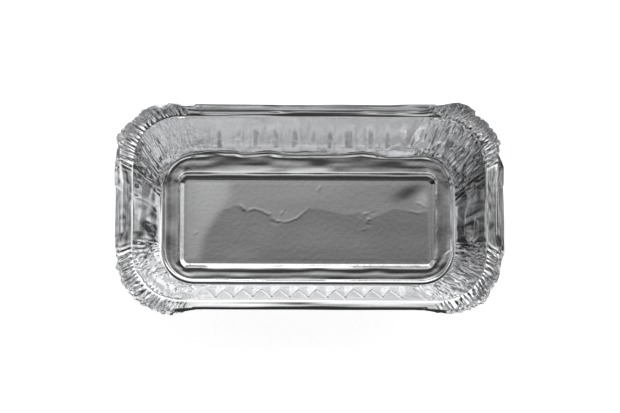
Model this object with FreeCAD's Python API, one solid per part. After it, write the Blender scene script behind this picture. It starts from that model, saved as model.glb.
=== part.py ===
"""An oblong foil tray for hot food, pressed from one sheet of thin aluminium.

Frame: +Z up, +X along the tray, the origin under the middle of the base, on the table.
Lengths are in millimetres. The sheet is one solid of one gauge, folded double at its edge.
It is laid out as a stack of rings, from the top of the lip down the flange, the wall and the
steps of the base to the flat panel in the middle. Each ring is a rounded oblong, and every ring
has the same stations round it, so that neighbouring rings join up facet by facet. Flutes move
the stations of the walls in and out, and pleats move those of the corners out and up.
"""
import FreeCAD
import Part
import math
import os
from FreeCAD import Vector

NODE = "foil_tray"

# Facets count as lying in one plane within this distance.
FLAT = 1e-6

# Driving sizes: alias, value, what it is.
SIZES = [
    ("opening_length", 179.0, "clear length between the walls at the flange"),
    ("opening_width", 94.2, "clear width between the walls at the flange"),
    ("opening_corner", 24.0, "corner radius of the opening"),
    ("tray_depth", 44.0, "table to the top of the flange"),
    ("foil_gauge", 0.08, "thickness of the sheet"),
    ("flange_ends", 4.8, "width of the flat flange along the two short sides"),
    ("flange_sides", 4.1, "width of the flat flange along the two long sides"),
    ("flange_corner", 25.2, "corner radius of the outside of the flange"),
    ("lip_height", 7.0, "upstanding lip above the flange"),
    ("lip_flare_ends", 3.4, "how far the lip leans out on the two short sides"),
    ("lip_flare_sides", 1.1, "how far the lip leans out on the two long sides"),
    ("lip_corner", 21.5, "corner radius of the top of the lip"),
    ("hem_width", 0.3, "thickness of the folded edge"),
    ("hem_drop", 2.2, "how far the folded edge comes back down"),
    ("base_length", 153.6, "length between the feet of the walls"),
    ("base_width", 66.8, "width between the feet of the walls"),
    ("base_corner", 17.8, "corner radius of the foot of the wall"),
    ("foot_height", 1.9, "table to the foot of the wall"),
    ("bead_run", 0.8, "foot of the wall to the crest of the bead inside it"),
    ("bead_rise", 0.6, "how far that bead stands above the foot of the wall"),
    ("bead_slope", 1.6, "crest of the bead down to the flat ring"),
    ("ring_height", 1.0, "table to the flat ring of the base"),
    ("ring_ends", 6.5, "width of the flat ring along the two short sides"),
    ("ring_sides", 5.4, "width of the flat ring along the two long sides"),
    ("crest_run", 1.2, "flat ring up to the crest round the panel"),
    ("crest_rise", 0.5, "how far the crest round the panel stands above the ring"),
    ("crest_corner", 8.0, "corner radius of the crest round the panel"),
    ("panel_slope", 2.5, "crest round the panel down to the panel"),
    ("panel_corner", 3.5, "corner radius of the base panel"),
    ("flutes_long", 11, "flutes in each long wall"),
    ("flutes_short", 3, "flutes in each short wall"),
    ("flute_end_sides", 7.0, "plain wall beyond the last flute of a long side, at the foot"),
    ("flute_end_ends", 1.4, "plain wall beyond the last flute of a short side, at the foot"),
    ("flute_depth", 1.3, "how far a flute is pressed outwards"),
    ("flute_head", 6.0, "flange down to the top of the flutes"),
    ("flute_belly", 17.0, "table to where the flutes are deepest"),
    ("flute_tail", 5.0, "table to the lower end of the flutes"),
    ("flute_fade", 0.35, "share of its depth that a flute keeps at its two ends"),
    ("pleats", 18, "pleats that gather the foil in each corner"),
    ("pleat_height", 0.7, "how far a pleat stands up from the flange"),
    ("pleat_bulge", 0.9, "how far a pleat stands out from the lip"),
    ("pleat_crease", 0.35, "how deep the pleats run on down the corner of the wall"),
]


def fill_sheet(doc):
    """The driving sizes as a spreadsheet, one row each."""
    sheet = doc.addObject("Spreadsheet::Sheet", "Sizes")
    for row, (alias, value, meaning) in enumerate(SIZES, start=1):
        sheet.set(f"A{row}", meaning)
        sheet.set(f"B{row}", str(value))
        sheet.setAlias(f"B{row}", alias)
    doc.recompute()
    return sheet


class Ring:
    """A rounded oblong round the tray, at one height, with its share of flutes and pleats."""

    def __init__(self, length, width, corner, height, flute=0.0, pleat_out=0.0, pleat_up=0.0):
        self.half_x = length / 2
        self.half_y = width / 2
        self.corner = corner
        self.height = height
        self.flute = flute
        self.pleat_out = pleat_out
        self.pleat_up = pleat_up

    def moved(self, outward, upward):
        """The same ring on the other face of the sheet."""
        return Ring(2 * (self.half_x + outward), 2 * (self.half_y + outward),
                    self.corner + outward, self.height + upward,
                    self.flute, self.pleat_out, self.pleat_up)


def wall_ring(size, height, flute, pleat_out):
    """A ring on the wall, in line between the opening and the foot."""
    share = (height - size.foot_height) / (size.tray_depth - size.foot_height)
    length = size.base_length + share * (size.opening_length - size.base_length)
    width = size.base_width + share * (size.opening_width - size.base_width)
    corner = size.base_corner + share * (size.opening_corner - size.base_corner)
    return Ring(length, width, corner, height, flute, pleat_out)


def inside_rings(size):
    """The rings of the face that the food touches, from the lip down to the panel."""
    flange_length = size.opening_length + 2 * size.flange_ends
    flange_width = size.opening_width + 2 * size.flange_sides
    lip_length = flange_length + 2 * size.lip_flare_ends
    lip_width = flange_width + 2 * size.lip_flare_sides
    lip_top = size.tray_depth + size.lip_height
    hem = size.hem_drop / size.lip_height
    bead_length = size.base_length - 2 * size.bead_run
    bead_width = size.base_width - 2 * size.bead_run
    bead_corner = size.base_corner - size.bead_run
    ring_length = bead_length - 2 * size.bead_slope
    ring_width = bead_width - 2 * size.bead_slope
    inner_length = ring_length - 2 * size.ring_ends
    inner_width = ring_width - 2 * size.ring_sides
    crest_length = inner_length - 2 * size.crest_run
    crest_width = inner_width - 2 * size.crest_run
    faded = size.flute_depth * size.flute_fade
    panel_top = size.foil_gauge
    return [
        Ring(lip_length, lip_width, size.lip_corner, lip_top,
             pleat_out=size.pleat_bulge, pleat_up=size.pleat_height),
        Ring(lip_length + hem * (flange_length - lip_length),
             lip_width + hem * (flange_width - lip_width),
             size.lip_corner + hem * (size.flange_corner - size.lip_corner),
             lip_top - size.hem_drop,
             pleat_out=size.pleat_bulge, pleat_up=size.pleat_height / 2),
        Ring(flange_length, flange_width, size.flange_corner, size.tray_depth,
             pleat_out=size.pleat_bulge / 2, pleat_up=size.pleat_height),
        Ring(size.opening_length, size.opening_width, size.opening_corner, size.tray_depth,
             pleat_up=size.pleat_height / 2),
        wall_ring(size, size.tray_depth - size.flute_head, faded, size.pleat_crease),
        wall_ring(size, size.flute_belly, size.flute_depth, size.pleat_crease),
        wall_ring(size, size.flute_tail, faded, size.pleat_crease / 2),
        wall_ring(size, size.foot_height, 0.0, 0.0),
        Ring(bead_length, bead_width, bead_corner, size.foot_height + size.bead_rise),
        Ring(ring_length, ring_width, bead_corner - size.bead_slope, size.ring_height),
        Ring(inner_length, inner_width, size.crest_corner + size.crest_run, size.ring_height),
        Ring(crest_length, crest_width, size.crest_corner, size.ring_height + size.crest_rise),
        Ring(crest_length - 2 * size.panel_slope, crest_width - 2 * size.panel_slope,
             size.panel_corner, panel_top),
    ]


def mitre(before, here, after, gauge):
    """Step from the inside face to the outside face at a bend of the section.

    The three points are places on the section, as distance out and height.
    """
    def outward(start, end):
        run = end[0] - start[0]
        rise = end[1] - start[1]
        length = math.hypot(run, rise)
        return (-rise / length, run / length)

    first = outward(before, here)
    second = outward(here, after)
    spread = 1 + first[0] * second[0] + first[1] * second[1]
    return (gauge * (first[0] + second[0]) / spread, gauge * (first[1] + second[1]) / spread)


def outside_rings(size, inside):
    """The rings of the outer face, one gauge away, with the folded edge at the lip."""
    section = [((ring.half_x + ring.half_y) / 2, ring.height) for ring in inside]
    above = (section[0][0], section[0][1] + 1)
    centre = (0.0, section[-1][1])
    reach = [above] + section + [centre]
    face = []
    for index, ring in enumerate(inside):
        step = mitre(reach[index], reach[index + 1], reach[index + 2], size.foil_gauge)
        face.append(ring.moved(*step))
    hem_top = inside[0].moved(size.hem_width, 0.0)
    hem_edge = inside[1].moved(size.hem_width, 0.0)
    tucked = inside[1].moved(size.foil_gauge, 0.0)
    return [hem_top, hem_edge, tucked] + face[2:]


def fluted_run(size, ring, half_side, core, end):
    """Half the run of a side that is fluted.

    The flutes of a wall are upright, so all its rings share one run. Inside the foot a ring has
    nothing but plain facets there, and they take the same share of its straight side.
    """
    foot_core = half_side - size.base_corner
    run = foot_core - end
    if ring.height < size.flute_tail:
        run *= core / foot_core
    return run


def stations(size, ring):
    """Points round a ring, anticlockwise from the lower end of the +X side.

    A flute takes two facets of a side, its line pressed out, and a pleat takes two of a corner.
    """
    core_x = ring.half_x - ring.corner
    core_y = ring.half_y - ring.corner
    long_run = fluted_run(size, ring, size.base_length / 2, core_x, size.flute_end_sides)
    short_run = fluted_run(size, ring, size.base_width / 2, core_y, size.flute_end_ends)
    sides = [
        (size.flutes_short, short_run, core_x, core_y),
        (size.flutes_long, long_run, core_y, core_x),
    ]
    points = []
    for quarter in range(4):
        flutes, run, core_out, core_along = sides[quarter % 2]
        turn = quarter * math.pi / 2
        ahead = Vector(-math.sin(turn), math.cos(turn), 0)
        aside = Vector(math.cos(turn), math.sin(turn), 0)
        lift = Vector(0, 0, ring.height)
        facets = 2 * int(flutes)
        for step in range(facets + 1):
            along = run * (2 * step / facets - 1)
            pressed = ring.flute * (step % 2)
            out = core_out + ring.corner + pressed
            points.append(aside * out + ahead * along + lift)
        centre = aside * core_out + ahead * core_along
        facets = 2 * int(size.pleats)
        for step in range(facets + 1):
            angle = turn + math.pi / 2 * step / facets
            raised = step % 2
            reach = ring.corner + ring.pleat_out * raised
            spoke = Vector(math.cos(angle), math.sin(angle), 0)
            points.append(centre + spoke * reach + lift + Vector(0, 0, ring.pleat_up * raised))
    return points


def facet(points):
    """A flat face through points in order."""
    return Part.Face(Part.makePolygon(points + points[:1]))


def off_plane(corners, point):
    """How far a point lies from the plane of three corners."""
    normal = (corners[1] - corners[0]).cross(corners[2] - corners[0])
    return abs((point - corners[0]).dot(normal)) / normal.Length


def band(upper, lower):
    """Faces between two rings of stations, half of the way round at a time.

    Facets that lie in one plane are one face, and a quad that isn't flat is halved by a fold.
    """
    faces = []
    count = len(upper)
    half = count // 2
    upper = upper + upper[:1]
    lower = lower + lower[:1]
    start = 0
    while start < count:
        corners = [upper[start], upper[start + 1], lower[start]]
        limit = half if start < half else count
        end = start
        while end < limit and all(off_plane(corners, point) < FLAT
                                  for point in (upper[end + 1], lower[end + 1])):
            end += 1
        if end > start:
            faces.append(facet(upper[start:end + 1] + lower[start:end + 1][::-1]))
        else:
            end = start + 1
            faces.append(facet([upper[start], upper[end], lower[end]]))
            faces.append(facet([upper[start], lower[end], lower[start]]))
        start = end
    return faces


def foil_sheet(size):
    """The whole sheet as one solid: down the inside face, and back up the outside one."""
    inside = inside_rings(size)
    outside = outside_rings(size, inside)
    down = [stations(size, ring) for ring in inside]
    back = [stations(size, ring) for ring in outside]
    faces = []
    for face in (down, back):
        for upper, lower in zip(face, face[1:]):
            faces += band(upper, lower)
        faces.append(facet(face[-1]))
    faces += band(down[0], back[0])
    skin = Part.makeCompound(faces)
    skin.sewShape()
    solid = Part.Solid(skin.Shells[0])
    if solid.Volume < 0:
        solid.reverse()
    return solid


def check(objects):
    """Stop if an object failed, or if its shape is missing or broken."""
    for item in objects:
        if "Invalid" in item.State or "Error" in item.State:
            raise RuntimeError(f"{item.Label} is {item.State}")
        if hasattr(item, "Shape") and (item.Shape.isNull() or not item.Shape.isValid()):
            raise RuntimeError(f"{item.Label} has a broken shape")


def main():
    doc = FreeCAD.newDocument("FoilTray")
    size = fill_sheet(doc)
    tray = doc.addObject("Part::Feature", "FoilTray")
    tray.Label = NODE
    tray.Shape = foil_sheet(size)
    tray.Placement = FreeCAD.Placement()
    doc.recompute()
    check(doc.Objects)
    os.makedirs("parts", exist_ok=True)
    tray.Shape.exportStep(f"parts/{tray.Label}.step")
    box = tray.Shape.BoundBox
    print(f"{NODE}: {box.XLength:.1f} x {box.YLength:.1f} x {box.ZLength:.1f} mm,",
          f"{len(tray.Shape.Faces)} faces, {tray.Shape.Volume:.0f} mm3")


main()
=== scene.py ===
import math

import bpy
import numpy as np
from mathutils import Matrix, Vector


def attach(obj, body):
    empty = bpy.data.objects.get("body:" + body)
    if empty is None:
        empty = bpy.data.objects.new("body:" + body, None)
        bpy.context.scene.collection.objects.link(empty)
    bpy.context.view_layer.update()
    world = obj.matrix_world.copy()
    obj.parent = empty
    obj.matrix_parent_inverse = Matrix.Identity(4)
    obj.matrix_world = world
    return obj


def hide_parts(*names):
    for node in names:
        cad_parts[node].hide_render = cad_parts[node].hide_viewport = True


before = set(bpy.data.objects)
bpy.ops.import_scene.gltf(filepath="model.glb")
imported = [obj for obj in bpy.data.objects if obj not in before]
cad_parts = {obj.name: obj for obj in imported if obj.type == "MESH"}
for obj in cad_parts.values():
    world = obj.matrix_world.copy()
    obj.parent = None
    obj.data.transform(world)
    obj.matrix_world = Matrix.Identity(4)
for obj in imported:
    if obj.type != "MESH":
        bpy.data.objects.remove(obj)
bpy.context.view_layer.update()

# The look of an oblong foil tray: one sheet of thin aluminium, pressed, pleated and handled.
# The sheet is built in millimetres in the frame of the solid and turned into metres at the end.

MM = 0.001
SEED = 7

# Rings of the pressed form: half length, half width, corner radius, height, bend radius.
KEYS = {
    "lip_top": (97.2, 52.0, 21.5, 51.0, 0.0),
    "flange_edge": (94.3, 51.2, 25.2, 44.0, 0.8),
    "opening": (89.5, 47.1, 24.0, 44.0, 0.8),
    "foot": (76.8, 33.4, 17.8, 1.9, 0.8),
    "bead": (76.0, 32.6, 17.0, 2.5, 0.25),
    "ring_outer": (74.4, 31.0, 15.4, 1.0, 0.2),
    "ring_inner": (67.9, 25.6, 5.7, 1.0, 0.4),
    "crest": (66.7, 24.4, 4.5, 1.3, 0.15),
    "panel": (64.6, 22.3, 2.6, 0.08, 0.15),
    "panel_inside": (63.8, 21.5, 1.8, 0.08, 0.0),
}
# Rows of the mesh from the ring before to each ring.
STEPS = {"flange_edge": 10, "opening": 7, "foot": 44, "bead": 2, "ring_outer": 2,
         "ring_inner": 6, "crest": 2, "panel": 3, "panel_inside": 1}
# Thickness of the sheet and of its folded edge, and how far the fold comes back down.
FOIL = 0.08
HEM = 0.3
HEM_DROP = 2.2
# How far the base ring and the panel lie nearer the front than the rim.
BASE_FORWARD = 0.95

# Flutes of the long walls: pitch, where the count starts, the run along the wall, and depths.
FLUTE_PITCH = 9.45
FLUTE_ORIGIN = -43.2
FLUTED_RUN = (-51, 47)
NEAR_FLUTE_DEPTH = 1.5
FAR_FLUTE_DEPTH = 1.1
# Slope of a far flute, as depth over this, and the share of it that the shading leaves out.
FAR_FLUTE_REACH = 4.7
FAR_FLUTE_CALM = 0.75
# Soft dark ribs of the far wall: pitch and the place of one of them, in pixels.
RIB_PITCH = 18.6
RIB_ORIGIN = 276

# Facets round the sheet: along a short side, along a long side, and in each corner.
SHORT = 76
LONG = 200
CORNER = 100

# The camera, from the places of the rim and the base in the photograph's 620 x 413 frame.
IMAGE = (620, 413)
CAMERA_AWAY = 1400.0
CAMERA_LEAN = (-0.029, -0.143)
CAMERA_TARGET = (0.4, 3.5, 25.0)
PIXELS_PER_RADIAN = 2724.0

# Where the ragged edge of the lip runs in the photograph, corner by corner, in its pixels.
LIP_EDGE = {
    "back_left": [(115.0, 185), (115.0, 170), (115.4, 164), (117, 148), (118, 133.7),
                  (126, 124.8), (143.9, 108.7), (154.6, 104.7), (160, 107.4), (163.6, 106),
                  (168.9, 103.4), (177.9, 104.3), (182.3, 106.0), (195, 105.6)],
    "front_left": [(115.6, 240), (115.6, 250), (116.5, 256), (118.5, 261), (115.6, 268.5),
                   (119, 273), (121.6, 283), (129, 290.5), (134.5, 297.5), (149, 305),
                   (157, 310), (166.5, 311), (172, 310), (178, 308), (192, 307.5)],
    "back_right": [(436, 105.6), (446, 104.6), (449.6, 102.8), (458.6, 102.5), (468, 105.5),
                   (475.5, 111), (475, 114.5), (484, 119), (490, 126), (494, 130), (498, 137),
                   (501, 143), (500, 149), (498.4, 153.5), (501, 160), (503.6, 167),
                   (503.4, 185)],
    "front_right": [(504, 240), (504.2, 254), (502.5, 260.5), (501, 265), (499.4, 271),
                    (500, 276), (497.5, 280.5), (491.5, 285), (490, 289), (489.3, 296),
                    (484, 301.5), (475, 304.5), (464, 306.2), (455, 309), (449, 310.5),
                    (438, 309), (428, 308.4)],
}

# The wavy line where the far wall meets its foot, its level, and its pixels for a millimetre.
FAR_FOOT_LEVEL = 156.2
FAR_FOOT_SCALE = 1.95
FAR_FOOT = [(160, 156.2), (178, 157.8), (195, 156.6), (209, 154.2), (216, 153.8), (225, 154.8),
            (235, 154.8), (243, 156.6), (255, 155.8), (270, 154.6), (283, 156.6), (300, 157),
            (340, 156.4), (362, 154.8), (372, 155.6), (389, 159.2), (405, 158.6),
            (420, 157.6), (440, 156.2)]

# Creases of the walls, as lines in pixels with half width in pixels and height.
LEFT_CREASES = [
    ([(154.6, 183.7), (152, 192), (149.3, 199.8)], 3.0, 0.7),
    ([(134, 194.4), (141, 199), (149.3, 202.4), (158, 208.7)], 2.5, 0.6),
    ([(136, 197.5), (146, 204), (152, 208), (157, 213)], 2.0, -0.4),
    ([(136, 211.6), (144, 219.6), (151, 223), (158, 229)], 3.0, 0.7),
    ([(138, 204), (146, 208)], 3.0, 0.4),
    ([(143, 236.6), (149, 240), (153, 245), (153.8, 250), (152.9, 257)], 2.5, 0.6),
    ([(149.3, 242.9), (143.5, 247.2), (140.4, 253.6), (137, 259)], 2.0, 0.5),
    ([(146.5, 246), (143.5, 252), (146, 257)], 1.6, -0.35),
    ([(139.5, 262.5), (147, 260.5), (155.5, 257)], 2.4, 0.5),
    ([(151, 205), (154.5, 212), (152, 218)], 3.2, -0.9),
    ([(152, 224), (155, 230), (152.5, 235)], 3.2, -0.9),
    ([(152, 236), (156, 246), (158, 256)], 2.4, -0.6),
    ([(139, 222), (145.7, 227.7), (150, 233)], 4.5, -0.6),
]
RIGHT_CREASES = [
    ([(469.3, 178.4), (473, 171), (477.3, 164)], 2.0, 0.45),
    ([(466.5, 177), (470, 170), (474.5, 163)], 1.6, -0.35),
    ([(453.2, 178.4), (460, 170), (467.5, 160.5)], 2.4, 0.5),
    ([(457, 171), (458.5, 180), (458, 190), (461, 197)], 2.2, 0.5),
    ([(464, 190), (471, 187.5), (479, 184.8)], 2.6, 0.5),
    ([(466, 192), (467.5, 198), (465, 204)], 2.2, 0.45),
    ([(456.8, 208.7), (470, 203.4), (482.7, 199.8)], 3.6, 0.5),
    ([(463, 226), (474, 220), (485.4, 215.2)], 3.2, 0.6),
    ([(463, 221.5), (474, 214), (485.4, 208)], 3.2, -0.5),
    ([(469.3, 228.6), (478, 227), (485.4, 224.1)], 2.6, 0.5),
    ([(463.5, 231), (465, 236), (468, 241.5), (473, 241), (486.3, 234.5)], 3.0, 0.7),
    ([(472.9, 242), (480, 249.1), (484.5, 257.1), (488.5, 259.8)], 2.2, 0.6),
    ([(470, 244), (476, 252), (480, 260)], 4.0, -0.7),
    ([(458.6, 244.6), (459.0, 253), (459.5, 261.6)], 2.4, 0.6),
    ([(456.8, 207.1), (457.4, 213), (459, 218), (462.1, 221.4)], 1.8, 0.6),
    ([(456.5, 225), (457, 230)], 1.6, 0.5),
]
CORNER_CREASES = [
    ([(192, 121), (200, 131), (206, 134)], 2.0, -0.3),
    ([(190, 119.5), (198, 128.5), (203, 131)], 1.6, 0.2),
    ([(183, 129), (190, 134), (196, 140)], 2.2, -0.22),
    ([(150, 152), (158, 163), (166, 172)], 2.0, -0.3),
    ([(163, 139), (171, 150), (180, 156)], 2.4, 0.3),
    ([(164, 146), (170, 157), (174, 163)], 2.0, -0.3),
    ([(178, 145), (183, 150), (181, 156)], 2.2, 0.3),
    ([(435.4, 288.4), (442, 292), (448.8, 294.6)], 1.6, -0.5),
    ([(440, 112), (432, 128), (424, 141)], 3.0, 0.35),
    ([(425, 118), (414, 136), (408, 150)], 5.0, -0.35),
    ([(174, 297), (180, 290)], 1.6, -0.4),
]

# Facets of the short walls: lines in pixels, half width, and lean towards the back in radians.
FACETS = [
    ([(145.5, 226), (145.5, 235)], 6, -0.14),
    ([(153.5, 210), (153.5, 215)], 3.5, -0.16),
    ([(155, 227), (155, 233)], 2.5, -0.16),
    ([(138, 170), (142, 190)], 8, -0.05),
    ([(138, 212), (144, 213)], 3, 0.12),
    ([(140, 217), (150, 223)], 3, 0.15),
    ([(152.5, 186), (150, 199)], 1.5, 0.2),
    ([(137, 196), (146, 201), (157, 208)], 1.6, 0.2),
    ([(141, 201), (152, 208)], 1.0, 0.15),
    ([(142, 236.5), (150, 239.5), (155, 247)], 1.6, 0.2),
    ([(157.5, 190), (157.5, 262)], 2.0, 0.12),
    ([(461, 221), (472, 219), (485, 215)], 3.5, 0.07),
    ([(463, 229), (485, 222.5)], 2.0, -0.05),
    ([(469, 229), (476, 228), (483, 224)], 3.0, 0.09),
    ([(467, 240), (476, 240), (486, 234.5)], 2.5, 0.12),
    ([(466, 205), (474, 203), (483, 199)], 3.5, 0.05),
    ([(457, 207), (457, 214), (462, 221)], 1.2, 0.2),
    ([(474, 243), (481, 250), (487, 259)], 1.2, 0.2),
    ([(459, 245), (459.5, 262)], 1.5, 0.12),
    ([(464, 247), (470, 260)], 7.0, -0.06),
]

# Creases of the panel, as those of the walls.
PANEL_CREASES = [
    ([(240, 203), (244.5, 209)], 2.2, 0.1),
    ([(247, 209.5), (254, 207), (262, 209), (268, 213)], 1.6, 0.05),
    ([(265, 210), (267.9, 212.5), (272, 212)], 1.5, 0.06),
    ([(270, 219.5), (279, 222)], 1.6, -0.06),
    ([(277, 219), (280, 219.5)], 1.4, 0.09),
    ([(280, 220), (288, 220), (297, 216.5), (309, 206.5)], 1.4, 0.05),
    ([(281, 213), (284, 209)], 1.4, 0.07),
    ([(283.5, 210), (286.5, 209)], 1.5, -0.06),
    ([(320.5, 184), (317.5, 189.5)], 1.4, 0.06),
    ([(357, 212.5), (367, 218)], 1.5, -0.07),
    ([(363, 212.5), (369, 211.5)], 1.3, 0.06),
    ([(371, 212), (376, 210.5)], 1.3, -0.05),
    ([(367, 217.5), (370, 218)], 1.4, 0.09),
    ([(366, 222), (371, 224)], 1.5, -0.07),
    ([(362, 229), (366, 227)], 1.5, 0.05),
    ([(195, 232.5), (197, 229.5)], 1.4, 0.06),
    ([(415.5, 200.5), (420, 202), (426, 206)], 1.3, 0.06),
    ([(408, 209), (419, 211.5), (426, 208.5)], 1.4, 0.04),
]

# Edges of the faint facets of the panel: the right edge of the left one, the top of the low one.
LEFT_FACET = [(232, 176), (231, 195), (222, 208), (213, 222), (205, 235), (199, 262)]
LOW_FACET = [(180, 225), (222, 208), (240, 203), (247, 209), (254, 207), (262, 209), (268, 213),
             (279, 221), (288, 220), (297, 216), (309, 206.5), (325, 208), (345, 213),
             (357, 212.5), (368, 218), (380, 213), (395, 207), (410, 210), (420, 212),
             (436, 208)]


# Brightness of the room by angle from straight up: towards the back, then towards the right.
FRONT_TO_BACK = [(-90, 0.5), (-70, 0.4), (-61, 0.2), (-57, 0.03), (-51.5, 0.03), (-49.5, 0.5),
                 (-43, 0.52), (-30, 0.78), (-24, 0.3), (-18, 0.04), (0, 0.05), (2, 0.08),
                 (5, 0.18), (11, 0.38), (20, 0.8), (28, 0.92), (60, 1.8), (90, 1.6)]
LEFT_TO_RIGHT = [(-90, 0.5), (-62, 0.6), (-45, 0.28), (-28, 0.28), (-12, 1.15), (-2, 1.1),
                 (4, 0.85), (12, 0.8), (26, 0.95), (40, 1.1), (60, 1.1), (75, 0.8), (90, 0.6)]
BRIGHTEST = 1.8

# Half width of the floor, and how far it lies below the tray, in metres.
FLOOR_HALF = 6.0
FLOOR_DROP = 0.0003
# Middle and half sizes, in metres, of a dark patch of the floor that only the metal shows:
# painted shade in front of the tray, for the metal to reflect.
PAINTED_SHADE_PATCH = ((0.0, -0.087, 0.0), (0.14, 0.034, 1.0))


def unit(vector):
    """The vector at length 1."""
    vector = np.asarray(vector, float)
    return vector / np.linalg.norm(vector)


BACK = unit((CAMERA_LEAN[0], CAMERA_LEAN[1], 1.0))
RIGHT = unit(np.cross((0.0, 1.0, 0.0), BACK))
UP = np.cross(BACK, RIGHT)
CAMERA_AT = np.asarray(CAMERA_TARGET) + BACK * CAMERA_AWAY


def in_photo(points):
    """Where points in millimetres fall in the photograph, in its pixels."""
    ray = points - CAMERA_AT
    depth = -ray @ BACK
    across = IMAGE[0] / 2 + PIXELS_PER_RADIAN * (ray @ RIGHT) / depth
    down = IMAGE[1] / 2 - PIXELS_PER_RADIAN * (ray @ UP) / depth
    return np.stack([across, down], axis=-1)


# The pressed form: rings, stations and the grid of the base panel.

def ring_gap(a, b):
    """How far apart two rings lie on the section."""
    return math.hypot((a[0] + a[1] - b[0] - b[1]) / 2, a[3] - b[3])


def section_rows():
    """Rings from the top of the lip to the panel, bends rounded, and how far down each lies.

    Also gives, for each key ring, how far down the section it lies.
    """
    names = list(KEYS)
    shape = np.array([KEYS[name][:4] for name in names])
    bend = [KEYS[name][4] for name in names]
    rows = []
    for index, name in enumerate(names[1:]):
        start, end = shape[index], shape[index + 1]
        length = ring_gap(start, end)
        first = min(bend[index] / length, 0.45)
        last = 1 - min(bend[index + 1] / length, 0.45)
        count = STEPS[name]
        for step in range(count + 1):
            rows.append(start + (end - start) * (first + (last - first) * step / count))
        if index + 2 < len(names):
            after = shape[index + 2]
            reach = min(bend[index + 1] / ring_gap(end, after), 0.45)
            leaving = end + (after - end) * reach
            entering = rows[-1]
            for share in (1 / 3, 2 / 3):
                rows.append(entering * (1 - share) ** 2 + end * 2 * share * (1 - share)
                            + leaving * share ** 2)
    rows = np.array(rows)
    down = np.concatenate([[0], np.cumsum([ring_gap(a, b) for a, b in zip(rows, rows[1:])])])
    places = {}
    for name, ring in zip(names, shape):
        nearest = np.argmin([ring_gap(ring, row) for row in rows])
        places[name] = down[nearest]
    return rows, down, places


def stations():
    """The places round a ring: quarter, whether in a corner, and the share along it."""
    places = []
    for quarter in range(4):
        count = (SHORT, LONG)[quarter % 2]
        for step in range(count + 1):
            places.append((quarter, 0, 2 * step / count - 1))
        for step in range(1, CORNER):
            places.append((quarter, 1, step / CORNER))
    return np.array(places)


def spokes(places):
    """The way out from the core of the form at each place."""
    angle = (places[:, 0] + places[:, 1] * places[:, 2]) * math.pi / 2
    return np.stack([np.cos(angle), np.sin(angle), np.zeros(len(places))], 1)


def lay(ring, places):
    """Points of a ring at its places."""
    half_x, half_y, corner, height = ring
    quarter = places[:, 0]
    turn = quarter * math.pi / 2
    aside = np.stack([np.cos(turn), np.sin(turn)], 1)
    ahead = np.stack([-np.sin(turn), np.cos(turn)], 1)
    on_long = quarter % 2 == 1
    core_out = np.where(on_long, half_y, half_x) - corner
    core_along = np.where(on_long, half_x, half_y) - corner
    along = np.where(places[:, 1] == 1, 1.0, places[:, 2]) * core_along
    flat = aside * core_out[:, None] + ahead * along[:, None] + spokes(places)[:, :2] * corner
    return np.column_stack([flat, np.full(len(places), height)])


def band(upper, lower):
    """Quads and triangles between two lines of vertex numbers that pair up."""
    quads = []
    triangles = []
    for a, b, c, d in zip(upper, np.roll(upper, -1), np.roll(lower, -1), lower):
        if c == d and a != b:
            triangles.append((a, b, c))
        elif a == b and c != d:
            triangles.append((a, c, d))
        elif a != b:
            quads.append((a, b, c, d))
    return quads, triangles


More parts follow.
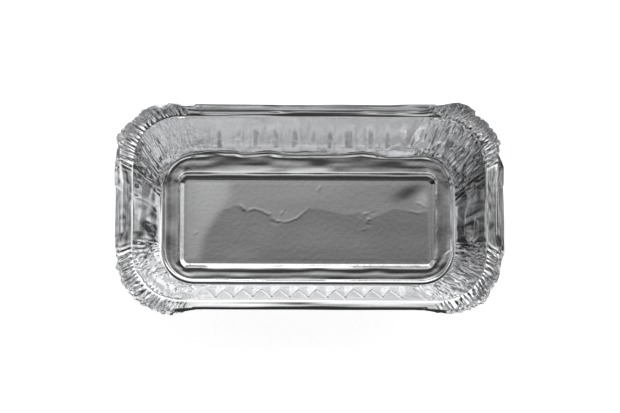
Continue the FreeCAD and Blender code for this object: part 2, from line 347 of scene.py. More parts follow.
class Sheet:
    """The face that the food touches: its points, its faces, and where each point lies.

    down is the distance along the section from the top of the lip, round is the distance
    round the opening, and gather is 1 in the corners, fading to 0 along the sides.
    """

    FADE = 12.0

    def __init__(self):
        self.places = stations()
        self.rows, self.row_down, self.at = section_rows()
        self.quads = []
        self.triangles = []
        self.points = np.zeros((0, 3))
        self.row = np.zeros(0, int)
        self.station = np.zeros(0, int)
        last = self.add_rings()
        self.add_panel(last)
        self.quads = np.array(self.quads)
        self.triangles = np.array(self.triangles)
        self.locate()

    def add_points(self, points, row, station):
        """Adds points and gives the number of the first."""
        first = len(self.points)
        self.points = np.concatenate([self.points, points])
        self.row = np.concatenate([self.row, np.full(len(points), row)])
        self.station = np.concatenate([self.station, station])
        return first

    def join(self, upper, lower):
        """Adds the faces between two lines of vertices."""
        quads, triangles = band(upper, lower)
        self.quads += quads
        self.triangles += triangles

    def add_rings(self):
        """All rings. Inside the foot, the corners keep every second station."""
        places = self.places
        every = np.arange(len(places))
        odd = np.round(places[:, 2] * CORNER).astype(int) % 2 == 1
        kept = ~((places[:, 1] == 1) & odd)
        previous = None
        for number, ring in enumerate(self.rows):
            here = lay(ring, places)
            if self.row_down[number] <= self.at["foot"] + KEYS["foot"][4]:
                numbers = self.add_points(here, number, every) + every
            else:
                numbers = self.add_points(here[kept], number, every[kept]) + np.cumsum(kept) - 1
            if previous is not None:
                self.join(previous, numbers)
            previous = numbers
        return previous

    def add_panel(self, last):
        """The flat of the base, as a grid whose edges meet the stations of the sides."""
        half_x, half_y, corner, height = self.rows[-1]
        along_x = np.linspace(-1, 1, LONG + 1) * (half_x - corner)
        along_y = np.linspace(-1, 1, SHORT + 1) * (half_y - corner)
        flat = np.stack(np.meshgrid(along_x, along_y, indexing="ij"), -1).reshape(-1, 2)
        first = self.add_points(np.column_stack([flat, np.full(len(flat), height)]),
                                len(self.rows), np.full(len(flat), -1))
        grid = first + np.arange(len(flat)).reshape(LONG + 1, SHORT + 1)
        edge = []
        for quarter, in_corner, share in self.places:
            step = (1.0 if in_corner else share) / 2 + 0.5
            on_x = round(step * LONG)
            on_y = round(step * SHORT)
            sides = (grid[LONG, on_y], grid[LONG - on_x, SHORT],
                     grid[0, SHORT - on_y], grid[on_x, 0])
            edge.append(sides[int(quarter)])
        self.join(last, np.array(edge))
        cells = np.stack([grid[:-1, :-1], grid[1:, :-1], grid[1:, 1:], grid[:-1, 1:]], -1)
        self.quads += [tuple(cell) for cell in cells.reshape(-1, 4)]

    def locate(self):
        """Where each point lies: on the section, round the rim, and in the photograph."""
        rim = lay(KEYS["opening"][:4], self.places)
        pace = np.linalg.norm(np.roll(rim, -1, axis=0) - rim, axis=1)
        round_rim = np.concatenate([[0], np.cumsum(pace)[:-1]])
        self.length = pace.sum()
        self.on_ring = self.station >= 0
        station = np.maximum(self.station, 0)
        self.round = np.where(self.on_ring, round_rim[station], 0)
        self.down = np.append(self.row_down, self.row_down[-1] + 1)[self.row]
        away = self.distance_to_corner(round_rim)
        self.gather = np.where(self.on_ring, np.clip(1 - away / self.FADE, 0, 1)[station], 0)
        self.quarter = np.where(self.on_ring, self.places[station, 0], -1)
        self.pixel = in_photo(self.points)
        self.outward = np.where(self.on_ring[:, None], spokes(self.places)[station], 0)
        self.flank = self.on_ring & (self.places[station, 1] == 0)
        in_wall = window(self.down, self.at["opening"] + 1, self.at["foot"] - 1, 2)
        self.satin = in_wall * (1 - self.gather) * (self.quarter % 2 == 1)

    def distance_to_corner(self, round_rim):
        """For each station, how far it is along the rim from the nearest corner."""
        away = np.full(len(round_rim), 1e9)
        for place in round_rim[self.places[:, 1] == 1]:
            step = np.abs(round_rim - place)
            away = np.minimum(away, np.minimum(step, self.length - step))
        return away

    def normals(self, points):
        """Normals on the food side, weighted by area."""
        total = np.zeros_like(points)
        for faces in (self.quads, self.triangles):
            lean = np.cross(points[faces[:, 2]] - points[faces[:, 0]],
                            points[faces[:, -1]] - points[faces[:, 1]])
            if faces.shape[1] == 3:
                lean = np.cross(points[faces[:, 1]] - points[faces[:, 0]],
                                points[faces[:, 2]] - points[faces[:, 0]])
            for corner in range(faces.shape[1]):
                np.add.at(total, faces[:, corner], lean)
        length = np.linalg.norm(total, axis=1)
        return total / np.maximum(length, 1e-12)[:, None]


# Shapes of handled foil.

def smooth(low, high, value):
    """A soft step from 0 to 1 between two values."""
    share = np.clip((value - low) / (high - low), 0, 1)
    return share * share * (3 - 2 * share)


def window(value, low, high, fade):
    """1 between two values, fading to 0 outside them."""
    return smooth(low - fade, low, value) * (1 - smooth(high, high + fade, value))


def wobble(x, y, seed):
    """Soft noise from -1 to 1 with features about one unit wide."""
    lattice = np.random.default_rng(SEED + seed).uniform(-1, 1, (97, 89))
    column = np.floor(x).astype(int)
    line = np.floor(y).astype(int)
    across = x - column
    along = y - line
    across = across * across * (3 - 2 * across)
    along = along * along * (3 - 2 * along)

    def node(i, j):
        return lattice[(column + i) % 97, (line + j) % 89]

    return ((node(0, 0) * (1 - across) + node(1, 0) * across) * (1 - along)
            + (node(0, 1) * (1 - across) + node(1, 1) * across) * along)


def tent(phase):
    """A zigzag from 0 to 1 and back, once for each unit."""
    return 1 - np.abs(2 * (phase - np.floor(phase)) - 1)


def crinkle(x, y, seed):
    """Sharp creases that wander through soft ground, from 0 in a crease to about 1."""
    return np.abs(wobble(x, y, seed) + 0.45 * wobble(2.1 * x, 1.7 * y, seed + 1)) * 1.4


def folds(length, pitch, seed):
    """Irregular pleats: the places of their feet and crests, and how high each stands."""
    dice = np.random.default_rng(SEED + 200 + seed)
    place = 0.0
    knots = []
    while place < length:
        width = pitch * dice.uniform(0.6, 1.45)
        knots.append((place, 0.2 * dice.uniform(0, 1)))
        knots.append((place + width * dice.uniform(0.35, 0.7), dice.uniform(0.5, 1.0)))
        place += width
    return np.array(knots)


def from_line(pixel, line):
    """How far each place lies from a line of points, how far along it, and on which side."""
    line = np.asarray(line, float)
    pieces = np.linalg.norm(np.diff(line, axis=0), axis=1)
    best = np.full(len(pixel), 1e9)
    share = np.zeros(len(pixel))
    side = np.zeros(len(pixel))
    before = 0.0
    for start, end, length in zip(line, line[1:], pieces):
        away = pixel - start
        way = end - start
        along = np.clip(away @ way / length ** 2, 0, 1)
        gap = np.linalg.norm(away - along[:, None] * way, axis=1)
        nearer = gap < best
        best = np.where(nearer, gap, best)
        share = np.where(nearer, (before + along * length) / pieces.sum(), share)
        side = np.where(nearer, way[0] * away[:, 1] - way[1] * away[:, 0], side)
        before += length
    return best, share, side


def creases(pixel, strokes, steep=0.6, broad=1.5):
    """Folds along lines of the photograph, steep on one flank, tapered at their ends."""
    total = np.zeros(len(pixel))
    for line, half_width, height in strokes:
        gap, share, side = from_line(pixel, line)
        width = half_width * np.where(side * height > 0, steep, broad)
        taper = np.minimum(1, 5 * np.minimum(share + 0.04, 1.04 - share))
        total += height * np.clip(1 - gap / width, 0, 1) * taper
    return total


def patch(x, y, centre, size, turn):
    """A soft spot in pixels, turned by some degrees."""
    cosine, sine = math.cos(math.radians(turn)), math.sin(math.radians(turn))
    across = ((x - centre[0]) * cosine + (y - centre[1]) * sine) / size[0]
    along = ((y - centre[1]) * cosine - (x - centre[0]) * sine) / size[1]
    return np.exp(-across ** 2 - along ** 2)


def reach(start, heading, line):
    """How far from each start along its heading a line is met, or 0 where it isn't."""
    best = np.full(len(start), 1e9)
    for a, b in zip(np.asarray(line, float), np.asarray(line[1:], float)):
        side = b - a
        cross = heading[:, 0] * side[1] - heading[:, 1] * side[0]
        cross = np.where(np.abs(cross) < 1e-9, 1e-9, cross)
        gap = a - start
        far = (gap[:, 0] * side[1] - gap[:, 1] * side[0]) / cross
        share = (gap[:, 0] * heading[:, 1] - gap[:, 1] * heading[:, 0]) / cross
        met = (share >= 0) & (share <= 1) & (np.abs(far) < np.abs(best))
        best = np.where(met, far, best)
    return np.where(np.abs(best) < 8, best, 0)


class Shape:
    """What handling did to the sheet: moves along its normal, upwards and outwards."""

    def __init__(self, sheet):
        self.sheet = sheet
        self.at = sheet.at
        count = len(sheet.points)
        self.push = np.zeros(count)
        self.lift = np.zeros(count)
        self.spread = np.zeros(count)
        self.lean = np.zeros((count, 2))
        self.edge_weight = 1 - np.clip(sheet.down / self.at["flange_edge"], 0, 1)
        self.on_lip = sheet.down < self.at["flange_edge"]
        self.below = sheet.down - self.at["opening"]
        self.on_wall = window(sheet.down, self.at["opening"] + 1.2, self.at["foot"] - 1.0, 1.0)
        self.on_flange = window(sheet.down, self.at["flange_edge"], self.at["opening"], 1.0)
        ragged_end = 0.3 * wobble(sheet.round / 4, 0 * sheet.round, 5)
        edge = np.clip(2.2 * sheet.gather - 0.9 + ragged_end, 0, 1)
        x, y = sheet.pixel.T
        tab = window(x, 453, 474, 3) * (y < 113) * self.on_lip
        self.ragged = edge * (sheet.gather > 0) * (1 - 0.85 * tab)

    def rim(self):
        """The straight runs of lip and flange: their leans, and long shallow waves."""
        sheet, at = self.sheet, self.at
        front = np.clip(-sheet.outward[:, 1], 0, 1) ** 2
        left = np.clip(-sheet.outward[:, 0], 0, 1) ** 2
        section = [0, at["flange_edge"], at["opening"], at["opening"] + 12]
        self.spread += front * np.interp(sheet.down, section, [-1.2, 0.8, 0.0, 0.0])
        self.spread += left * np.interp(sheet.down, section, [0.9, 1.0, 0.6, 0.0])
        self.lift += front * np.interp(sheet.down, section, [0.2, 0.55, 0.0, 0.0])
        straight = 1 - self.ragged
        streaks = wobble(sheet.round / 22, sheet.down / 0.9, 31)
        self.lift += self.on_flange * straight * 0.16 * streaks
        side = sheet.outward[:, 0] ** 2
        self.lift += self.on_flange * straight * side * 0.22 * (
            crinkle(sheet.round / 9, sheet.down / 1.1, 34) - 0.5)
        self.spread += self.on_lip * straight * 0.12 * wobble(
            sheet.round / 26, sheet.down / 1.4, 32)
        self.spread += self.on_lip * 0.35 * self.edge_weight * wobble(
            sheet.round / 17, 0 * sheet.down, 33)

    def pleats(self):
        """Pleats of the flange and the lip at the corners, where the flange is wider."""
        sheet, at = self.sheet, self.at
        self.spread += sheet.gather * 2.0 * np.interp(
            sheet.down, [0, at["flange_edge"], at["opening"]], [0, 1, 0])
        skew = 1.2 * wobble(sheet.round / 5, sheet.down / 4, 3)
        knots = folds(sheet.length, 2.1, 1)
        pleat = np.interp(sheet.round + skew, knots[:, 0], knots[:, 1])
        edge, opening = at["flange_edge"], at["opening"]
        fall = np.interp(sheet.down, [edge, edge + 1, opening - 1.5, opening], [0.7, 1, 0.8, 0.2])
        uneven = np.clip(1 + 0.8 * wobble(sheet.round / 5, sheet.down / 5, 6), 0.3, 1.7)
        small = crinkle(sheet.round / 0.9, sheet.down / 3, 8)
        self.lift += self.on_flange * self.ragged ** 2 * fall * (
            uneven * 1.95 * (pleat - 0.4) + 0.6 * (small - 0.5))
        knots = folds(sheet.length, 2.6, 2)
        lip_pleat = np.interp(sheet.round + 2 * skew, knots[:, 0], knots[:, 1])
        height = 0.35 + 0.65 * self.edge_weight
        self.spread += self.on_lip * self.ragged * height * 1.3 * (lip_pleat - 0.5)
        rough = crinkle(sheet.round / 2.2, sheet.down / 2.4, 11)
        self.spread += self.on_lip * self.ragged * 1.1 * (rough - 0.5)
        self.lift += self.on_lip * self.ragged * self.edge_weight * 0.8 * wobble(
            sheet.round / 1.7, sheet.down / 8, 12)

    def lip_outline(self):
        """Carries the edge of the lip out to the line that it follows in the photograph."""
        sheet = self.sheet
        edge = self.on_lip & (sheet.down <= 0)
        where = sheet.points + sheet.outward * self.spread[:, None]
        start = in_photo(where)
        heading = in_photo(where + sheet.outward) - start
        move = np.zeros(len(sheet.points))
        for line in LIP_EDGE.values():
            found = reach(start[edge], heading[edge], line)
            move[edge] += np.where(move[edge] == 0, found, 0)
        by_station = np.zeros(len(sheet.places))
        by_station[sheet.station[edge]] = move[edge]
        station = np.maximum(sheet.station, 0)
        self.spread += self.on_lip * by_station[station] * self.edge_weight ** 0.8
        scallop = np.abs(wobble(sheet.round / 1.9, 0 * sheet.round, 13))
        self.spread -= self.on_lip * self.ragged * self.edge_weight * 1.1 * scallop

    def gathers(self):
        """Fine creases that run down the corners of the wall from the pleats of the flange."""
        sheet = self.sheet
        drift = 1.6 * wobble(sheet.round / 9, sheet.down / 14, 41)
        fine = crinkle((sheet.round + drift) / 1.3, sheet.down / 11, 21)
        long = crinkle((sheet.round - drift) / 3.2, sheet.down / 24, 24)
        calm = np.clip(0.8 + 0.7 * wobble(sheet.round / 6, sheet.down / 9, 27), 0.15, 1.3)
        fade = window(self.below, 0, 38, 6)
        self.push += self.on_wall * sheet.gather * fade * calm * 0.62 * (0.5 - fine)
        self.push += self.on_wall * sheet.gather * 0.6 * (0.5 - long)

    def fluted(self):
        """The phase of the flutes, how far each point is into one, and the fluted walls."""
        sheet = self.sheet
        along = sheet.points[:, 0]
        phase = (along - FLUTE_ORIGIN) / FLUTE_PITCH
        belly = 1 - tent(phase + 0.5)
        falling = phase - np.floor(phase) < 0.5
        long_wall = sheet.flank & (sheet.quarter % 2 == 1)
        pressed = long_wall * self.on_wall * window(along, *FLUTED_RUN, 3)
        return phase, belly, falling, pressed

    def near_flutes(self):
        """Flutes of the near wall, whose tops make a zigzag with a bright and a dark edge."""
        phase, belly, falling, pressed = self.fluted()
        near = self.sheet.points[:, 1] < 0
        number = np.floor(phase + 0.5)
        dice = np.random.default_rng(SEED + 50)
        uneven = dice.uniform(-1, 1, 64)[(number + 20).astype(int) % 64]
        top = 8.0 + 19 * (1 - belly) + 1.6 * uneven
        depth = smooth(0, 3.2, self.below - top) * (0.35 + 0.65 * belly)
        tail = 1 - smooth(29, 38, self.below)
        self.push -= near * pressed * tail * depth * NEAR_FLUTE_DEPTH
        bright = np.exp(-((self.below - top + 1.3) / 1.5) ** 2)
        self.push += near * pressed * bright * 0.5
        dark = np.exp(-((self.below - top - 1.6) / 1.3) ** 2) * (0.3 + 0.7 * falling)
        self.lean[:, 1] -= near * pressed * (0.97 * dark + 0.68 * bright)

    def far_flutes(self):
        """Flutes of the far wall, calm in their shading, and the soft dark ribs over them."""
        sheet = self.sheet
        _, belly, falling, pressed = self.fluted()
        far = sheet.points[:, 1] >= 0
        height = np.interp(self.below, [4, 8, 28, 38, 42], [0, 0.35, 1, 0.35, 0])
        self.push -= far * pressed * height * belly * FAR_FLUTE_DEPTH
        slope = np.where(falling, 1, -1) * FAR_FLUTE_DEPTH * height / FAR_FLUTE_REACH
        self.lean[:, 0] -= FAR_FLUTE_CALM * far * pressed * slope
        along = sheet.points[:, 0]
        turn = (sheet.pixel[:, 0] - RIB_ORIGIN) / RIB_PITCH
        turn += 0.14 * wobble(along / 9, 0 * along, 51)
        rib = window(self.below, 22, 31, 16)
        rib *= far * pressed * (1 + 0.3 * wobble(along / 5, sheet.down / 12, 52))
        self.push -= rib * 0.22 * np.cos(2 * math.pi * (turn - 0.25))
        aside = (turn - np.round(turn)) * RIB_PITCH
        self.lean[:, 0] -= rib * 0.46 * window(aside, -1.0, 1.0, 4.2)
        self.lean[:, 0] -= rib * 0.15 * wobble(along / 1.6, sheet.down / 12, 53)

    def dents(self):
        """Creases and dents of the walls, where the photograph shows them."""
        sheet = self.sheet
        x = sheet.pixel[:, 0]
        left = creases(sheet.pixel, LEFT_CREASES) * (x < 170)
        right = creases(sheet.pixel, RIGHT_CREASES) * (x > 440)
        self.push += self.on_wall * (left + right) * 0.25
        for line, half_width, lean in FACETS:
            gap = from_line(sheet.pixel, line)[0]
            self.lean[:, 1] += self.on_wall * lean * (1 - smooth(0.6, 1.3, gap / half_width))
        self.push += self.on_wall * 1.5 * creases(sheet.pixel, CORNER_CREASES)
        short = sheet.on_ring & (sheet.quarter % 2 == 0)
        self.push += short * self.on_wall * 0.7 * wobble(
            sheet.points[:, 1] / 9, sheet.down / 10, 61)
        soft = np.where(sheet.gather > 0, 0.2, 0.1)
        self.push += self.on_wall * soft * wobble(sheet.round / 12, sheet.down / 14, 62)
        self.push += self.on_wall * 0.05 * crinkle(sheet.round / 5, sheet.down / 2.5, 63)

    def foot(self):
        """The wavy foot of the far wall."""
        sheet = self.sheet
        wave = np.array(FAR_FOOT)
        level = np.interp(sheet.pixel[:, 0], wave[:, 0], wave[:, 1])
        shift = (level - FAR_FOOT_LEVEL) / FAR_FOOT_SCALE
        far = sheet.on_ring * (sheet.outward[:, 1] > 0.3)
        close = window(sheet.down, self.at["foot"] - 1.5, self.at["foot"] + 0.6, 4.0)
        self.spread -= far * close * shift

    def base(self):
        """The ring and the panel of the base: soft waves, small dents and creases."""
        sheet, at = self.sheet, self.at
        ring = window(sheet.down, at["foot"] + 0.5, at["crest"], 0.6) * sheet.on_ring
        self.lift += ring * 0.1 * wobble(sheet.round / 11, sheet.down / 2.2, 71)
        dish = window(sheet.down, at["ring_outer"] + 1.2, at["ring_inner"] - 1.2, 2.0)
        self.lift -= sheet.on_ring * dish * 0.1
        self.long_sides()
        self.ring_leans(ring)
        x, y = sheet.points[:, 0], sheet.points[:, 1]
        half_x, half_y = KEYS["panel"][:2]
        inside = smooth(0.6, 2.0, np.minimum(half_x - np.abs(x), half_y - np.abs(y)))
        raised = np.maximum(creases(sheet.pixel, PANEL_CREASES, 0.9, 1.3) + 0.03, 0)
        self.lift += inside * 0.7 * raised
        self.lean[:, 1] += inside * np.radians(self.facets())

    def far_and_near(self):
        """1 along the far side and along the near side of the base, fading in the corners."""
        sheet = self.sheet
        return [np.clip(side * 1.6 - 0.4, 0, 1) * sheet.on_ring
                for side in (sheet.outward[:, 1], -sheet.outward[:, 1])]

    def long_sides(self):
        """The heights and places of the foot, bead and ring along the far and near sides."""
        sheet, at = self.sheet, self.at
        far, near = self.far_and_near()
        across = [at["bead"], at["ring_outer"], at["ring_inner"], at["crest"], at["panel"]]
        self.lift += far * np.interp(sheet.down, across, [-0.75, 0.25, -0.05, 0.0, 0.0])
        self.lift += far * np.interp(sheet.down, [at["foot"] - 4, at["foot"], at["bead"]],
                                     [0, -0.3, -0.75]) * (sheet.down < at["bead"])
        self.spread += far * np.interp(sheet.down, [at["foot"] - 9, at["foot"]] + across,
                                       [0.0, 1.1, 1.3, 1.9, 0.2, 0.0, 0.0])
        across = [at["foot"] - 6, at["foot"]] + across
        self.lift += near * np.interp(sheet.down, across, [0, -0.35, -0.75, 0, 0.06, -0.25, 0])
        self.spread += near * np.interp(sheet.down, across, [0, 0.85, 0.35, 0.5, 0, 0, 0])

    def ring_leans(self, ring):
        """The bands and streaks of the base ring, as leans by the share across its flat."""
        sheet, at = self.sheet, self.at
        far, near = self.far_and_near()
        share = (sheet.down - at["ring_outer"]) / (at["ring_inner"] - at["ring_outer"])
        flat = window(share, 0.02, 0.98, 0.02)
        self.lean[:, 1] += near * flat * np.radians(np.interp(
            share, [0, 0.3, 0.36, 0.64, 0.7, 1], [-3.5, -3.5, 3.5, 3.5, -0.3, -0.3]))
        lines = 2.2 * wobble(sheet.round / 12, sheet.down / 0.55, 76)
        self.lean[:, 1] += far * flat * np.radians(
            np.interp(share, [0, 0.62, 0.7, 1], [0, 0, 2.5, 2.5]) + lines)
        streaks = 0.6 * wobble(sheet.round / 25, sheet.down / 0.8, 74)
        left = np.interp(share, [0, 0.15, 0.2, 0.4, 0.45, 0.85, 0.9, 1],
                         [0.8, 0.8, -2.2, -2.0, -1.0, -1.0, -0.5, -0.3])
        right = np.interp(share, [0, 0.3, 0.36, 1], [-0.5, -0.8, -1.3, -1.7])
        side = window(share, 0, 1, 0.1) * ring * sheet.outward[:, 0] ** 2
        bands = np.where(sheet.points[:, 0] < 0, left, right)
        self.lean[:, 1] += side * np.radians(bands + streaks)

    def facets(self):
        """The faint facets of the panel, as leans towards the back in degrees."""
        x, y = self.sheet.pixel.T
        left, low = np.array(LEFT_FACET), np.array(LOW_FACET)
        edge = np.interp(y, left[:, 1], left[:, 0])
        brink = np.interp(x, low[:, 0], low[:, 1])
        right_of = smooth(edge - 8, edge + 5, x)
        lean = 1.4 * (1 - right_of) * (0.5 + 0.5 * smooth(184, 205, x))
        depth = 1.2 - 0.5 * smooth(0, 35, y - brink)
        lean -= right_of * smooth(brink - 0.8, brink + 0.8, y) * depth
        lean -= 3.5 * patch(x, y, (409, 190), (17, 6), -25)
        lean += 2.2 * patch(x, y, (424, 197), (9, 9), 0)
        return lean + 0.35 * wobble(x / 30, y / 12, 75)

    def lines(self):
        """Crisp lines along the rings, which lean by some degrees towards the back."""
        sheet, at = self.sheet, self.at
        x, y = sheet.outward[:, 0], sheet.outward[:, 1]
        far, near, left, right = (np.clip(side, 0, 1) for side in (y, -y, -x, x))
        for place, half_width, weight, degrees in (
                (at["foot"] - 0.2, 1.0, 0.95 * far + 0.85 * left + 0.35 * right, 20),
                (at["foot"] - 0.9, 0.7, 0.6 * near, 24),
                (at["bead"] - 0.5, 0.9, 0.9 * near, -8),
                ((at["crest"] + at["panel"]) / 2 + 0.1, 1.9, 1.0 * far, -9),
                (at["opening"] - 0.1, 0.6, 0.45 + 0 * x, 14),
                (at["flange_edge"] + 0.1, 0.6, 0.7 * sheet.gather, 14)):
            close = np.clip(1.4 * (1 - np.abs(sheet.down - place) / half_width), 0, 1)
            yield sheet.on_ring * close * weight, degrees

    def moved(self):
        """The points of the sheet with all its moves made."""
        sheet = self.sheet
        points = sheet.points + sheet.normals(sheet.points) * self.push[:, None]
        points += sheet.outward * self.spread[:, None]
        points[:, 2] += self.lift
        aside = smooth(self.at["ring_outer"], self.at["crest"], sheet.down)
        points[:, 1] -= BASE_FORWARD * aside
        return points


def shaped(sheet):
    """The points of the handled sheet, and the normals that it is shaded with."""
    shape = Shape(sheet)
    shape.rim()
    shape.pleats()
    shape.lip_outline()
    shape.gathers()
    shape.near_flutes()
    shape.far_flutes()
    shape.dents()
    shape.foot()
    shape.base()
    points = shape.moved()
    normals = sheet.normals(points)
    normals[:, :2] += shape.lean
    normals /= np.linalg.norm(normals, axis=1)[:, None]
    for weight, degrees in shape.lines():
        lean = math.radians(degrees)
        aim = np.array([0, math.sin(lean), math.cos(lean)])
        normals += weight[:, None] * (aim - normals)
    return points, normals / np.linalg.norm(normals, axis=1)[:, None]


# The sheet as pieces with both of its faces.

def add_piece(name, sheet, points, normals, faces, rim_row, material):
    """One stretch of the sheet as a piece, both skins, with the normals of the whole sheet."""
    used = np.unique(np.concatenate([np.asarray(face) for face in faces]))
    place = np.full(len(points), -1)
    place[used] = np.arange(len(used))
    gauge = np.where(sheet.down[used] < HEM_DROP, HEM, FOIL)
    inner = points[used]
    outer = inner - normals[used] * gauge[:, None]
    inside = [[int(place[v]) for v in face] for face in faces]
    outside = [[v + len(used) for v in reversed(face)] for face in inside]
    edge = []
    if rim_row:
        ring = place[np.arange(len(sheet.places))]
        edge = [[int(b), int(a), int(a) + len(used), int(b) + len(used)]
                for a, b in zip(ring, np.roll(ring, -1))]
    mesh = bpy.data.meshes.new(name)
    mesh.from_pydata((np.concatenate([inner, outer]) * MM).tolist(), [],
                     inside + outside + edge)
    mesh.update()
    both = np.concatenate([normals[used], -normals[used]])
    mesh.polygons.foreach_set("use_smooth", [True] * len(mesh.polygons))
    mesh.normals_split_custom_set_from_vertices(both.tolist())
    crumpled = mesh.attributes.new("crumpled", "FLOAT", "POINT")
    crumpled.data.foreach_set("value", np.tile(sheet.gather[used], 2))
    satin = mesh.attributes.new("satin", "FLOAT", "POINT")
    satin.data.foreach_set("value", np.tile(sheet.satin[used], 2))
    mesh.materials.append(material)
    piece = bpy.data.objects.new(name, mesh)
    bpy.context.collection.objects.link(piece)
    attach(piece, "root")
    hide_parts("foil_tray")


def add_tray(material):
    """The sheet as three pieces that meet edge to edge."""
    sheet = Sheet()
    points, normals = shaped(sheet)
    faces = sheet.quads.tolist() + sheet.triangles.tolist()
    first = np.array([sheet.row[face].min() for face in faces])
    opening_row = np.searchsorted(sheet.row_down, sheet.at["opening"] + 0.8)
    foot_row = np.searchsorted(sheet.row_down, sheet.at["foot"] + 0.6)
    zones = {"foil_rim": first < opening_row,
             "foil_wall": (first >= opening_row) & (first < foot_row),
             "foil_base": first >= foot_row}
    for name, chosen in zones.items():
        some = [face for face, keep in zip(faces, chosen) if keep]
        add_piece(name, sheet, points, normals, some, name == "foil_rim", material)


def new_material(name):
    """A material, and its nodes, links and shader."""
    material = bpy.data.materials.new(name)
    material.use_nodes = True
    tree = material.node_tree
    return material, tree.nodes, tree.links, tree.nodes["Principled BSDF"]


def ranged(nodes, links, value, before=(0.0, 1.0), after=(0.0, 1.0)):
    """A value carried from one range to another."""
    node = nodes.new("ShaderNodeMapRange")
    for name, limit in zip(("From Min", "From Max", "To Min", "To Max"), before + after):
        node.inputs[name].default_value = limit
    links.new(value, node.inputs["Value"])
    return node.outputs["Result"]


def worked(nodes, links, operation, first, second, clamp=False):
    """The result of an operation on two values."""
    node = nodes.new("ShaderNodeMath")
    node.operation = operation
    node.use_clamp = clamp
    links.new(first, node.inputs[0])
    links.new(second, node.inputs[1])
    return node.outputs[0]


def attribute(nodes, name):
    """The value of an attribute of the mesh."""
    node = nodes.new("ShaderNodeAttribute")
    node.attribute_name = name
    return node.outputs["Fac"]


def foil_material():
    """Bright foil, a little duller on the long walls, with the finest crumpling as bump."""
    material, nodes, links, shader = new_material("foil")
    shader.inputs["Base Color"].default_value = (0.9, 0.905, 0.915, 1)
    shader.inputs["Metallic"].default_value = 1.0
    place = nodes.new("ShaderNodeTexCoord")
    fine = nodes.new("ShaderNodeTexNoise")
    fine.inputs["Scale"].default_value = 420.0
    fine.inputs["Detail"].default_value = 3.0
    links.new(place.outputs["Object"], fine.inputs["Vector"])
    depth = ranged(nodes, links, attribute(nodes, "crumpled"), after=(0.06, 0.12))
    roughness = ranged(nodes, links, attribute(nodes, "satin"), after=(0.1, 0.2))
    links.new(roughness, shader.inputs["Roughness"])
    bump = nodes.new("ShaderNodeBump")
    bump.inputs["Distance"].default_value = 0.0004
    links.new(depth, bump.inputs["Strength"])
    links.new(fine.outputs["Fac"], bump.inputs["Height"])
    links.new(bump.outputs["Normal"], shader.inputs["Normal"])
    return material


# Camera, light and floor.

def add_camera():
    """The camera at the photograph's place and angle."""
    data = bpy.data.cameras.new("camera")
    data.sensor_fit = "HORIZONTAL"
    data.lens = PIXELS_PER_RADIAN * data.sensor_width / IMAGE[0]
    data.clip_end = 20
    camera = bpy.data.objects.new("camera", data)
    turned = Matrix([[RIGHT[k], UP[k], BACK[k]] for k in range(3)]).to_4x4()
    turned.translation = Vector(CAMERA_AT * MM)
    camera.matrix_world = turned
    bpy.context.collection.objects.link(camera)
    bpy.context.scene.camera = camera


def brightness(nodes, links, sideways, upwards, stops):
    """The brightness for the angle of a direction from straight up, as a share of the most."""
    angle = worked(nodes, links, "ARCTAN2", sideways, upwards)
    share = ranged(nodes, links, angle, before=(-math.pi / 2, math.pi / 2))
    ramp = nodes.new("ShaderNodeValToRGB")
    elements = ramp.color_ramp.elements
    for degrees, _ in stops[1:-1]:
        elements.new((degrees + 90) / 180)
    for element, (_, value) in zip(elements, stops):
        element.color = (value / BRIGHTEST, value / BRIGHTEST, value / BRIGHTEST, 1)
    links.new(share, ramp.inputs["Fac"])
    return ramp.outputs["Color"]


def add_room():
    """The light: a room with bright and dark bands, as the metal shows it."""
    world = bpy.data.worlds.new("room")
    bpy.context.scene.world = world
    world.use_nodes = True
    nodes = world.node_tree.nodes
    links = world.node_tree.links
    place = nodes.new("ShaderNodeTexCoord")
    parts = nodes.new("ShaderNodeSeparateXYZ")
    links.new(place.outputs["Generated"], parts.inputs["Vector"])
    x, y, z = (parts.outputs[name] for name in "XYZ")
    both = nodes.new("ShaderNodeMix")
    both.data_type = "RGBA"
    both.blend_type = "MULTIPLY"
    both.inputs["Factor"].default_value = 1.0
    links.new(brightness(nodes, links, y, z, FRONT_TO_BACK), both.inputs[6])
    links.new(brightness(nodes, links, x, z, LEFT_TO_RIGHT), both.inputs[7])
    links.new(both.outputs[2], nodes["Background"].inputs["Color"])
    nodes["Background"].inputs["Strength"].default_value = BRIGHTEST ** 2


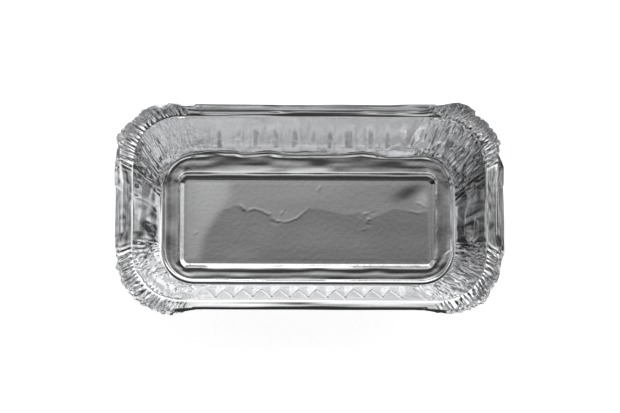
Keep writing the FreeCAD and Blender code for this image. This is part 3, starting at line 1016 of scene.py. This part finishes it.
def off_painted_shade_patch(nodes, links):
    """1 away from the painted dark patch of shade on the floor, and nearly 0 on it."""
    value = nodes.new("ShaderNodeTexCoord").outputs["Object"]
    for operation, vector in zip(("SUBTRACT", "DIVIDE"), PAINTED_SHADE_PATCH):
        node = nodes.new("ShaderNodeVectorMath")
        node.operation = operation
        node.inputs[1].default_value = vector
        links.new(value, node.inputs[0])
        value = node.outputs[0]
    away = nodes.new("ShaderNodeVectorMath")
    away.operation = "LENGTH"
    links.new(value, away.inputs[0])
    return ranged(nodes, links, away.outputs["Value"], before=(0.85, 1.15), after=(0.03, 1.0))


def floor_material():
    """A floor that is white to the camera, and shows the metal a painted shadow, darker where the
    tray stands.
    """
    material, nodes, links, shader = new_material("floor")
    shader.inputs["Roughness"].default_value = 0.9
    shader.inputs["Specular IOR Level"].default_value = 0.0
    path = nodes.new("ShaderNodeLightPath").outputs
    seen = worked(nodes, links, "ADD", path["Is Camera Ray"], path["Is Glossy Ray"])
    seen = worked(nodes, links, "ADD", seen, path["Is Transmission Ray"], clamp=True)
    # What the metal sees of the floor is a glow with painted shade: a contact shadow from
    # occlusion, times the painted dark patch.
    hidden = nodes.new("ShaderNodeAmbientOcclusion")
    hidden.inputs["Distance"].default_value = 0.3
    painted_contact_shadow = ranged(nodes, links, hidden.outputs["AO"], before=(0.7, 0.98), after=(0.4, 0.9))
    painted_shade_in_metal = worked(nodes, links, "MULTIPLY", painted_contact_shadow, off_painted_shade_patch(nodes, links))
    glow = nodes.new("ShaderNodeMix")
    glow.inputs[2].default_value = 0.8
    links.new(path["Is Glossy Ray"], glow.inputs[0])
    links.new(painted_shade_in_metal, glow.inputs[3])
    # Lit and shaded copies of the floor colour: pale to the camera, nearly black to the metal,
    # whose brightness comes from the painted glow.
    paint = nodes.new("ShaderNodeMix")
    paint.data_type = "RGBA"
    paint.inputs[6].default_value = (0.8, 0.8, 0.8, 1)
    paint.inputs[7].default_value = (0.05, 0.05, 0.05, 1)
    links.new(path["Is Glossy Ray"], paint.inputs["Factor"])
    links.new(paint.outputs[2], shader.inputs["Base Color"])
    shader.inputs["Emission Color"].default_value = (1, 1, 1, 1)
    links.new(worked(nodes, links, "MULTIPLY", seen, glow.outputs[0]),
              shader.inputs["Emission Strength"])
    return material


def add_floor():
    """A plain floor just under the tray."""
    mesh = bpy.data.meshes.new("floor")
    corners = [(-1, -1), (1, -1), (1, 1), (-1, 1)]
    mesh.from_pydata([(x * FLOOR_HALF, y * FLOOR_HALF, -FLOOR_DROP) for x, y in corners],
                     [], [(0, 1, 2, 3)])
    mesh.materials.append(floor_material())
    floor = bpy.data.objects.new("floor", mesh)
    bpy.context.collection.objects.link(floor)


add_tray(foil_material())
add_camera()
add_room()
add_floor()
bpy.context.scene.view_settings.view_transform = "Standard"
